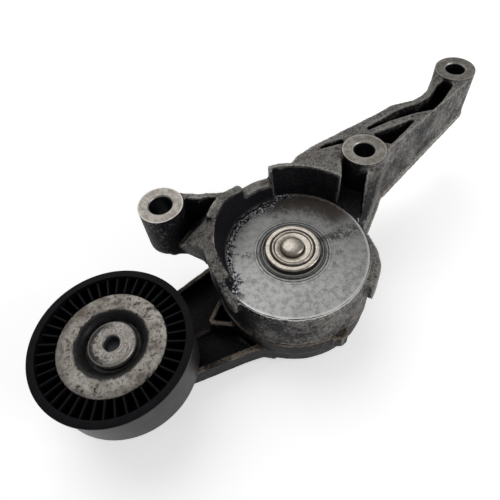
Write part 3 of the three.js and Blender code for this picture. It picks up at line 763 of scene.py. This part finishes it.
def boltSteel():
    look = boltFinish
    material, tree, bsdf = startMaterial("bolt steel")
    radius, angle = axisDistance(tree, wheelCentre)
    fine = grain(tree, 0.8, 7, 0.75, 2.0)
    mid = grain(tree, 2.0, 5, 0.6)
    base = blendColor(tree, span(tree, fine, 0.38, 0.62), look["dark"], look["bright"])
    base = paint(tree, base, look["dust"], span(tree, mid, 0.44, 0.66), 0.7)
    base = paint(tree, base, look["pit"], span(tree, mid, 0.44, 0.32), 0.8)
    away = apart(tree, calc(tree, "ABSOLUTE", angle), look["greasySide"])
    outer = span(tree, plus(tree, radius, times(tree, mid, 5)), *look["greasyOutside"])
    base = paint(tree, base, look["grease"], times(tree, span(tree, away, 75, 20), outer), 0.9)
    edge = times(tree, span(tree, radius, *look["outerEdge"]), span(tree, fine, 0.35, 0.5))
    base = paint(tree, base, look["edge"], edge, 0.8)
    socket = span(tree, radius, *look["socketRadius"])
    base = blendColor(tree, socket, base, look["socket"])
    dress(tree, bsdf, base, blendValue(tree, socket, 0.85, 0.1), blendValue(tree, mid, 0.36, 0.55))
    bump(tree, bsdf, fine, 0.09, 0.5)
    return material


def plainFinish(name, dark, light, metallic, roughness, size):  # a worn finish for the inner pieces
    material, tree, bsdf = startMaterial(name)
    cloud = grain(tree, size, 6, 0.6)
    fine = grain(tree, size / 8, 5, 0.65)
    base = blendColor(tree, span(tree, cloud, 0.3, 0.7), dark, light)
    base = paint(tree, base, shaded(dark, 0.35), span(tree, fine, 0.58, 0.72), 0.4)
    dress(tree, bsdf, base, metallic, blendValue(tree, cloud, roughness, roughness + 0.18))
    bump(tree, bsdf, fine, 0.05, 0.4)
    return material


# Camera, light and floor

viewLook = {
    "place": (-6.33, -109.10, 166.40),  # mm
    "right": (0.9974, 0.0, -0.0719),
    "up": (0.0409, 0.8227, 0.5671),
    "lens": 33.2,
    "nearest": 0.005,
}
studioLook = {
    "surround": 0.22,
    "aim": (0, 0.02, 0),  # metres, like the lamps
    "lamps": {"overhead": ((-0.25, 0.45, 0.70), 0.9, 3.6), "side": ((0.70, -0.25, 0.30), 0.5, 2.4)},
    "floorHalf": 3.0,
    "floorDrop": 0.6,  # mm under the lowest point
    "floorDark": (0.90, 0.90, 0.90),
    "floorPale": (0.93, 0.93, 0.93),
    "glow": 0.5,
}


def makeCamera():
    camera = bpy.data.objects.new("camera", bpy.data.cameras.new("camera"))
    scene.collection.objects.link(camera)
    right, up = Vector(viewLook["right"]).normalized(), Vector(viewLook["up"]).normalized()
    back = right.cross(up).normalized()
    turn = Matrix((right, up, back)).transposed().to_4x4()
    turn.translation = Vector(viewLook["place"]) * mm
    camera.matrix_world = turn
    camera.data.lens = viewLook["lens"]
    camera.data.clip_start = viewLook["nearest"]
    scene.camera = camera


def makeLamp(name, place, size, power):
    lamp = bpy.data.lights.new(name, "AREA")
    lamp.shape = "DISK"
    lamp.size = size
    lamp.energy = power
    made = bpy.data.objects.new(name, lamp)
    made.location = place
    made.rotation_euler = (Vector(studioLook["aim"]) - Vector(place)).to_track_quat("-Z", "Y").to_euler()
    scene.collection.objects.link(made)


def makeStudio():
    look = studioLook
    world = bpy.data.worlds.new("studio")
    world.use_nodes = True
    background = world.node_tree.nodes["Background"]
    background.inputs["Color"].default_value = (1, 1, 1, 1)
    background.inputs["Strength"].default_value = look["surround"]
    scene.world = world
    for name, (place, size, power) in look["lamps"].items():
        makeLamp(name, place, size, power)
    scene.view_settings.view_transform = "Standard"

    half = look["floorHalf"]
    bm = bmesh.new()
    level = cadBox[0].z - look["floorDrop"] * mm
    corners = [(-half, -half), (half, -half), (half, half), (-half, half)]
    bm.faces.new([bm.verts.new((x, y, level)) for x, y in corners])
    mesh = bpy.data.meshes.new("floor")
    bm.to_mesh(mesh)
    bm.free()
    floor = link("floor", mesh)
    material, tree, bsdf = startMaterial("pale floor")
    dress(tree, bsdf, blendColor(tree, grain(tree, 300, 3), look["floorDark"], look["floorPale"]), 0.0, 0.9)
    bsdf.inputs["Emission Color"].default_value = (1, 1, 1, 1)
    bsdf.inputs["Emission Strength"].default_value = look["glow"]
    mesh.materials.append(material)


makeCamera()
makeStudio()
print("camera, light and floor are in place")


# Bracket

bracketLook = {
    "grain": 0.62,  # mm between points before thinning
    "rounding": 5,
    "kept": 0.42,  # share of the faces
    "waves": [(7, 0.16), (2.2, 0.07)],
    "stock": 1.2,  # mm left on for machining
    "stockBore": 5.6,
    "stockRoot": 2,
    "faceRadius": 31.5,
    "faceLevel": 7.0,
    "westFoot": 3.9,  # the raised wall comes in this much further on its west side
    "west": (101, 214),  # degrees
    "westFade": 4,
    "ragged": [(3.5, 0.9), (1.0, 0.35)],  # the wall's foot: size and depth
    "flatRing": (12.4, 13.8, 7.8),  # inner and outer radius and level of the turned ring
    "scoredRing": 15.0,
    "edgeRadius": 33.0,
    "bossRadius": 9.5,
    "holeRadius": [4.9, 4.5, 4.5],
    "chamfer": 0.6,
    "clearance": 8,  # cutters stand this far above the boss tops
    "boreBottom": -4,
    "boreEdge": 0.7,  # mm round a hole that is finished like the boss tops
}


def westward(angle):  # 1 on the raised wall's west side, 0 elsewhere
    start, end = bracketLook["west"]
    fade = bracketLook["westFade"]
    return max(0.0, min(1.0, (angle - start) / fade, (end - angle) / fade))


def fitWall(mesh):  # takes the face's cutter back from the foot of the raised wall
    look = bracketLook
    for vertex in mesh.vertices:
        x, y, _ = vertex.co
        reach = math.hypot(x, y)
        if reach / mm < look["faceRadius"] - 1:
            continue
        angle = math.degrees(math.atan2(y, x)) % 360
        spot = Vector((x, y, 0))
        ragged = sum(height * noise.noise(spot / (size * mm)) for size, height in look["ragged"])
        shorter = (reach / mm - westward(angle) * (look["westFoot"] - ragged)) * mm / reach
        vertex.co.x *= shorter
        vertex.co.y *= shorter
    return mesh


def makeBracket():
    look = bracketLook
    level, stock = look["faceLevel"], look["stock"]
    bossRadius, chamfer = look["bossRadius"], look["chamfer"]
    top = bossTop / mm
    high = top + look["clearance"]
    places = [(centre.x, centre.y, 0) for centre in bossCentres]
    disc = ringProfile(0, look["edgeRadius"] - 1.2, level - 1, level + stock)
    added = [turnedMesh("stock", disc, segments=96)]
    boss = ringProfile(look["stockBore"], bossRadius, top - look["stockRoot"], top + stock)
    for place in places:
        added.append(turnedMesh("stock", boss, place, 64))
    piece = castSkin("bracket_body", "bracket_casting", added, look)
    inner, outer, ringLevel = look["flatRing"]
    line = look["scoredRing"]
    face = [
        (0, level),
        (inner - 0.2, level),
        (inner, ringLevel),
        (inner + 0.6, ringLevel),
        (inner + 0.75, ringLevel - 0.35),
        (inner + 0.95, ringLevel - 0.35),
        (inner + 1.1, ringLevel - 0.1),
        (outer - 0.1, ringLevel - 0.2),
        (outer, level),
        (line - 0.2, level),
        (line, level - 0.25),
        (line + 0.2, level),
        (look["faceRadius"] + 0.1, level),
        (look["faceRadius"] + 0.25, level + 0.4),
        (look["faceRadius"] + 0.25, level + 3),
        (0, level + 3),
    ]
    cutters = [fitWall(turnedMesh("face", face, segments=360))]
    for place, hole in zip(places, look["holeRadius"]):
        cutters.append(turnedMesh("top", ringProfile(0, bossRadius + 2, top, high), place, 96))
        bore = [
            (0, look["boreBottom"]),
            (hole, look["boreBottom"]),
            (hole, top - chamfer + 0.1),
            (hole + chamfer, top + 0.1),
            (hole + chamfer, high),
            (0, high),
        ]
        cutters.append(turnedMesh("bore", bore, place, 96))
    cut(piece, cutters)
    return piece


def paintBracket(piece, skin, face, tops):
    mesh = piece.data
    mesh.materials.clear()
    for material in (skin, face, tops):
        mesh.materials.append(material)
    look = bracketLook
    for polygon in mesh.polygons:
        centre, normal = polygon.center / mm, polygon.normal
        reach = math.hypot(centre.x, centre.y)
        polygon.material_index = 0
        low = look["faceLevel"] - 0.3
        high = look["faceLevel"] + (1.0 if reach < look["flatRing"][1] + 0.3 else 0.06)
        if normal.z > 0.2 and reach < look["edgeRadius"] and low < centre.z < high:
            polygon.material_index = 1
        elif normal.z > 0.9 and abs(centre.z - bossTop / mm) < 0.3:
            polygon.material_index = 2
        for middle, hole in zip(bossCentres, look["holeRadius"]):
            if math.hypot(centre.x - middle.x / mm, centre.y - middle.y / mm) < hole + look["boreEdge"]:
                polygon.material_index = 2


bracket = makeBracket()
storeWear(bracket.data)
paintBracket(bracket, greasyCasting("bracket skin", castLook, cleanUnshadedBracket), machinedFace(), bossFace())
smoothShade(bracket)
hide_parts("bracket_casting")
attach(bracket, "bracket")
print("bracket:", len(bracket.data.polygons), "faces")


# Arm

armLook = {
    "grain": 0.5,
    "rounding": 5,
    "kept": 0.42,
    "waves": [(6, 0.14), (2.0, 0.06)],
}
arm = castSkin("arm_body", "arm_casting", [], armLook)
storeWear(arm.data)
armMetal = {
    **castLook,
    "metal": (0.060, 0.050, 0.040),
    "pale": (0.24, 0.205, 0.17),
    "wornAndHighlit": (0.34, 0.29, 0.235),
    "bareAndTopLitFrom": 1.10,
}
arm.data.materials.append(greasyCasting("arm skin", armMetal, cleanArm))
smoothShade(arm)
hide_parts("arm_casting")
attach(arm, "arm")
print("arm:", len(arm.data.polygons), "faces")


# Geometry Nodes helpers

def newTree(name, sizes):
    tree = bpy.data.node_groups.new(name, "GeometryNodeTree")
    tree.interface.new_socket("Geometry", in_out="INPUT", socket_type="NodeSocketGeometry")
    for label, value in sizes.items():
        kind = "NodeSocketInt" if isinstance(value, int) else "NodeSocketFloat"
        tree.interface.new_socket(label, in_out="INPUT", socket_type=kind)
    tree.interface.new_socket("Geometry", in_out="OUTPUT", socket_type="NodeSocketGeometry")
    return tree, tree.nodes.new("NodeGroupInput").outputs


def closeTree(tree, geometry, material):
    smooth = put(tree, "GeometryNodeSetShadeSmooth", {"Geometry": geometry}).outputs[0]
    real = put(tree, "GeometryNodeRealizeInstances", {"Geometry": smooth}).outputs[0]
    painted = put(tree, "GeometryNodeSetMaterial", {"Geometry": real})
    painted.inputs["Material"].default_value = material
    plug(tree, tree.nodes.new("NodeGroupOutput").inputs[0], painted.outputs[0])


def grow(pieceName, tree, sizes):
    piece = link(pieceName, bpy.data.meshes.new(pieceName))
    growth = piece.modifiers.new(tree.name, "NODES")
    growth.node_group = tree
    for item in tree.interface.items_tree:
        if item.in_out == "INPUT" and item.name in sizes:
            growth[item.identifier] = sizes[item.name]
    return bake(piece)


# Pulley

wheelLook = {
    "ribs": 42,
    "rib": 0.95,
    "ribInner": 21.9,
    "ribOuter": 29.6,
    "ribInset": 0.9,
    "ribFillet": 0.25,
    "ribRoot": 0.6,  # how far a rib goes into the web
    "webThickness": 3.0,
    "rimThickness": 1.7,
    "rimHeight": 1.4,
    "wall": 1.8,
    "sleeve": (20.3, 22.5, 7.5),  # bore, outer radius and half width of the bearing's sleeve
}


def ribTree(material, sizes):
    tree, given = newTree("pulley ribs", sizes)
    half = times(tree, calc(tree, "SUBTRACT", given["Outer"], given["Inner"]), 0.5)
    middle = plus(tree, given["Inner"], half)
    ends = {"Start": combine(tree, times(tree, half, -1.0)), "End": combine(tree, half)}
    line = put(tree, "GeometryNodeCurvePrimitiveLine", ends).outputs[0]
    sides = {"Width": given["Thickness"], "Height": given["Depth"]}
    section = put(tree, "GeometryNodeCurvePrimitiveQuadrilateral", sides).outputs[0]
    fillet = {"Curve": section, "Radius": given["Fillet"], "Count": 3}
    softer = put(tree, "GeometryNodeFilletCurve", fillet, mode="POLY").outputs[0]
    sweep = {"Curve": line, "Profile Curve": softer, "Fill Caps": True}
    bar = put(tree, "GeometryNodeCurveToMesh", sweep).outputs[0]
    circle = put(tree, "GeometryNodeMeshCircle", {"Vertices": given["Count"], "Radius": middle}).outputs[0]
    place = put(tree, "ShaderNodeSeparateXYZ", {0: put(tree, "GeometryNodeInputPosition").outputs[0]})
    turn = combine(tree, z=calc(tree, "ARCTAN2", place.outputs[1], place.outputs[0]))
    spread = {"Points": circle, "Instance": bar, "Rotation": turn}
    bars = put(tree, "GeometryNodeInstanceOnPoints", spread).outputs[0]
    spot = combine(tree, given["X"], given["Y"], given["Z"])
    moved = put(tree, "GeometryNodeTransform", {"Geometry": bars, "Translation": spot}).outputs[0]
    closeTree(tree, moved, material)
    return tree


def wheelProfile():
    look = wheelLook
    half = (wheelHigh.z - wheelLow.z) / 2 / mm
    tread = wheelRadius - look["rimHeight"]
    inner = tread - look["wall"]
    web = look["webThickness"] / 2
    bore, sleeve, sleeveHalf = look["sleeve"]
    return [
        (bore, -sleeveHalf, 0.3),
        (bore, -sleeveHalf),
        (sleeve, -sleeveHalf, 0.3),
        (sleeve, -web, 0.5),
        (inner, -web, 0.5),
        (inner, -half, 0.4),
        (tread, -half, 0.5),
        (tread, half - look["rimThickness"], 0.2),
        (wheelRadius, half - look["rimThickness"], 0.3),
        (wheelRadius, half, 0.45),
        (inner, half, 0.4),
        (inner, web, 0.5),
        (sleeve, web, 0.5),
        (sleeve, sleeveHalf, 0.3),
        (bore, sleeveHalf),
    ]


def makeWheel(nylon):
    look = wheelLook
    body = link("pulley_wheel", turnedMesh("pulley_wheel", wheelProfile(), wheelCentre, 192))
    body.data.materials.append(nylon)
    smoothShade(body)
    half = (wheelHigh.z - wheelLow.z) / 2
    root = look["ribRoot"] * mm
    depth = half - (look["ribInset"] + look["webThickness"] / 2) * mm + root
    sizes = {
        "Count": look["ribs"],
        "Inner": look["ribInner"] * mm,
        "Outer": look["ribOuter"] * mm,
        "Thickness": look["rib"] * mm,
        "Depth": depth,
        "Fillet": look["ribFillet"] * mm,
        "X": wheelCentre.x,
        "Y": wheelCentre.y,
        "Z": 0.0,
    }
    tree = ribTree(nylon, sizes)
    middle = look["webThickness"] / 2 * mm - root + depth / 2
    sizes["Z"] = wheelCentre.z + middle
    front = grow("pulley_ribs_front", tree, sizes)
    sizes["Z"] = wheelCentre.z - middle
    rear = grow("pulley_ribs_rear", tree, sizes)
    return body, front, rear


nylon = filledNylon()
for part in makeWheel(nylon):
    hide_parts("pulley_body")
    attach(part, "pulley")
    print(part.name, len(part.data.polygons), "faces", [round(n / mm, 1) for n in part.dimensions])


# Dust shield, bolt, flange and pin

def addTurned(name, profile, centre, material, node, body, segments=160):
    piece = link(name, turnedMesh(name, profile, centre, segments))
    piece.data.materials.append(material)
    smoothShade(piece, 30)
    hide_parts(node)
    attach(piece, body)
    return piece


shieldLook = {"bore": 8.4, "clampEnd": 11.4, "dish": 13.6, "thickness": 1.0}
shieldRadius = (shieldHigh.x - shieldLow.x) / 2 / mm
shieldBase = shieldLow.z / mm
shieldTop = shieldHigh.z / mm
shieldProfile = [
    (shieldLook["bore"], shieldBase + shieldLook["thickness"]),
    (shieldLook["bore"], shieldBase),
    (shieldLook["clampEnd"] + 0.4, shieldBase, 0.8),
    (shieldLook["dish"], shieldTop - 1.0, 1.0),
    (shieldRadius - 0.5, shieldTop - 0.85, 0.5),
    (shieldRadius, shieldTop - 0.9, 0.3),
    (shieldRadius, shieldTop - 0.25, 0.35),
    (shieldRadius - 2.2, shieldTop, 1.2),
    (shieldLook["dish"] - 0.4, shieldTop, 1.6),
    (shieldLook["clampEnd"] - 0.6, shieldBase + shieldLook["thickness"], 1.2),
]
axisOfWheel = (wheelCentre.x, wheelCentre.y, 0)
addTurned("dust_shield", shieldProfile, axisOfWheel, zincShield(), "front_dust_shield", "arm")

boltLook = {
    "head": 9.5,
    "headHeight": 2.6,
    "shoulder": 8.2,
    "thread": 5.0,
    "threadDepth": 0.55,
    "pitch": 1.25,
    "socket": 3.1,
    "socketDepth": 4.4,
}
headTop = boltHigh.z / mm
headBottom = headTop - boltLook["headHeight"]
tip = boltLow.z / mm
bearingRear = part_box("bearing_inner_ring")[0].z / mm


def boltProfile():
    look = boltLook
    shank = []
    level = tip + 1.6
    while level < bearingRear - look["pitch"]:  # the thread's crests
        shank.append((look["thread"] - look["threadDepth"], level))
        shank.append((look["thread"], level + look["pitch"] / 2))
        level += look["pitch"]
    return [
        (0, tip),
        (look["thread"] - 2 * look["threadDepth"], tip, 0.2),
        *shank,
        (look["thread"] - 0.5, bearingRear + 0.3),
        (look["shoulder"], bearingRear + 0.3, 0.3),
        (look["shoulder"], headBottom),
        (look["head"], headBottom, 0.3),
        (look["head"], headTop - 0.45, 0.5),
        (look["head"] - 0.9, headTop, 0.4),
        (look["socket"] + 0.45, headTop, 0.25),
        (look["socket"], headTop - 0.45, 0.2),
        (look["socket"], headTop - look["socketDepth"], 0.4),
        (0, headTop - look["socketDepth"] - 0.8),
    ]


addTurned("bolt", boltProfile(), axisOfWheel, boltSteel(), "pulley_bolt", "arm")

flangeRadius = (flangeHigh.x - flangeLow.x) / 2 / mm
flangeBase, flangeTop = flangeLow.z / mm, flangeHigh.z / mm
steel = platedSteel()
flangeProfile = [
    (flangeLook["bore"], flangeTop - 0.9),
    (flangeLook["bore"], flangeBase),
    (flangeRadius, flangeBase),
    (flangeRadius, flangeTop - 0.85, 0.3),
    (flangeRadius - 0.6, flangeTop - 0.3, 0.3),
    (flangeLook["groove"] + flangeLook["grooveWidth"], flangeTop - 0.3, 0.25),
    (flangeLook["groove"], flangeTop - 0.9, 0.2),
    (flangeLook["groove"] - flangeLook["grooveWidth"], flangeTop, 0.25),
    (flangeLook["ridge"], flangeTop, 0.2),
    (flangeLook["ridge"] - 0.5, flangeTop - 0.45, 0.3),
    (flangeLook["bore"] + 0.8, flangeTop - 0.45, 0.3),
]
addTurned("flange", flangeProfile, (0, 0, 0), steel, "pivot_flange", "bracket")

pinLook = {"head": 12.0, "headThickness": 2.4, "shank": 6.5, "rivet": 4.6, "dome": 1.3, "domeSteps": 8}
pinRear, pinTop = pinLow.z / mm, pinHigh.z / mm
faceLevel = bracketLook["faceLevel"]
domeAngles = [step * math.pi / 2 / pinLook["domeSteps"] for step in range(pinLook["domeSteps"])]
domeProfile = [
    (pinLook["rivet"] * math.cos(t), pinTop + pinLook["dome"] * (math.sin(t) - 1)) for t in domeAngles
]
pinProfile = [
    (0, pinRear),
    (pinLook["head"], pinRear, 0.9),
    (pinLook["head"], pinRear + pinLook["headThickness"], 0.2),
    (pinLook["shank"], pinRear + pinLook["headThickness"], 0.3),
    (pinLook["shank"], faceLevel),
    (pinLook["rivet"], faceLevel),
    *domeProfile,
    (0, pinTop),
]
addTurned("pivot", pinProfile, (0, 0, 0), steel, "pivot_pin", "bracket")
print("turned pieces are made")


# Spring and balls

springLook = {"turns": 3.4, "wire": 2.8, "steps": 48, "wireSteps": 20}


def springTree(material, sizes):
    tree, given = newTree("coil spring", sizes)
    winding = {
        "Resolution": given["Steps"],
        "Rotations": given["Turns"],
        "Start Radius": given["Radius"],
        "End Radius": given["Radius"],
        "Height": given["Height"],
    }
    coil = put(tree, "GeometryNodeCurveSpiral", winding).outputs[0]
    ring = {"Resolution": given["Wire Steps"], "Radius": given["Wire"]}
    section = put(tree, "GeometryNodeCurvePrimitiveCircle", ring).outputs[0]
    sweep = {"Curve": coil, "Profile Curve": section, "Fill Caps": True}
    rod = put(tree, "GeometryNodeCurveToMesh", sweep).outputs[0]
    shift = {"Geometry": rod, "Translation": combine(tree, z=given["Z"])}
    moved = put(tree, "GeometryNodeTransform", shift).outputs[0]
    closeTree(tree, moved, material)
    return tree


springSteel = plainFinish("spring steel", (0.025, 0.026, 0.030), (0.060, 0.060, 0.066), 0.85, 0.38, 4)
wire = springLook["wire"] * mm
springSizes = {
    "Turns": springLook["turns"],
    "Steps": springLook["steps"],
    "Wire Steps": springLook["wireSteps"],
    "Radius": springHigh.x - wire,
    "Height": springHigh.z - springLow.z - 2 * wire,
    "Wire": wire,
    "Z": springLow.z + wire,
}
spring = grow("spring", springTree(springSteel, springSizes), springSizes)
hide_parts("torsion_spring")
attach(spring, "bracket")

ballLook = {"count": 8, "radius": 3.375, "segments": 32, "rings": 18}
bearingSteel = plainFinish("bearing steel", (0.42, 0.42, 0.43), (0.58, 0.58, 0.59), 1.0, 0.16, 5)


def ballTree(material, sizes):
    tree, given = newTree("bearing balls", sizes)
    track = {"Vertices": given["Count"], "Radius": given["Pitch"]}
    circle = put(tree, "GeometryNodeMeshCircle", track).outputs[0]
    sphere = {"Segments": given["Segments"], "Rings": given["Rings"], "Radius": given["Radius"]}
    ball = put(tree, "GeometryNodeMeshUVSphere", sphere).outputs[0]
    balls = put(tree, "GeometryNodeInstanceOnPoints", {"Points": circle, "Instance": ball}).outputs[0]
    spot = combine(tree, given["X"], given["Y"], given["Z"])
    moved = put(tree, "GeometryNodeTransform", {"Geometry": balls, "Translation": spot}).outputs[0]
    closeTree(tree, moved, material)
    return tree


ballBox = boxMiddle(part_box("ball_1"))
ballSizes = {
    "Count": ballLook["count"],
    "Segments": ballLook["segments"],
    "Rings": ballLook["rings"],
    "Pitch": ballBox.x - wheelCentre.x,
    "Radius": ballLook["radius"] * mm,
    "X": wheelCentre.x,
    "Y": wheelCentre.y,
    "Z": wheelCentre.z,
}
balls = grow("balls", ballTree(bearingSteel, ballSizes), ballSizes)
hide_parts(*["ball_%d" % (i + 1) for i in range(ballLook["count"])])
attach(balls, "cage")


# Inner pieces keep their CAD shape

wearPlastic = plainFinish("wear plastic", (0.30, 0.27, 0.19), (0.42, 0.38, 0.28), 0.0, 0.45, 5)
rubber = plainFinish("seal rubber", (0.010, 0.010, 0.011), (0.022, 0.021, 0.021), 0.0, 0.6, 3)
rearZinc = plainFinish("rear shield zinc", (0.14, 0.125, 0.105), (0.30, 0.285, 0.26), 0.75, 0.42, 5)
finishes = {
    "spring_sleeve": wearPlastic,
    "damper_ring": wearPlastic,
    "front_thrust_washer": wearPlastic,
    "pivot_bush": wearPlastic,
    "rear_thrust_washer": bearingSteel,
    "bearing_inner_ring": bearingSteel,
    "bearing_outer_ring": bearingSteel,
    "bearing_seal_front": rubber,
    "bearing_seal_rear": rubber,
    "ball_cage": springSteel,
    "rear_dust_shield": rearZinc,
}
for nodeName, material in finishes.items():
    mesh = frame["nodes"][nodeName].data
    for i in range(len(mesh.materials)):
        mesh.materials[i] = material
print("inner pieces are finished")
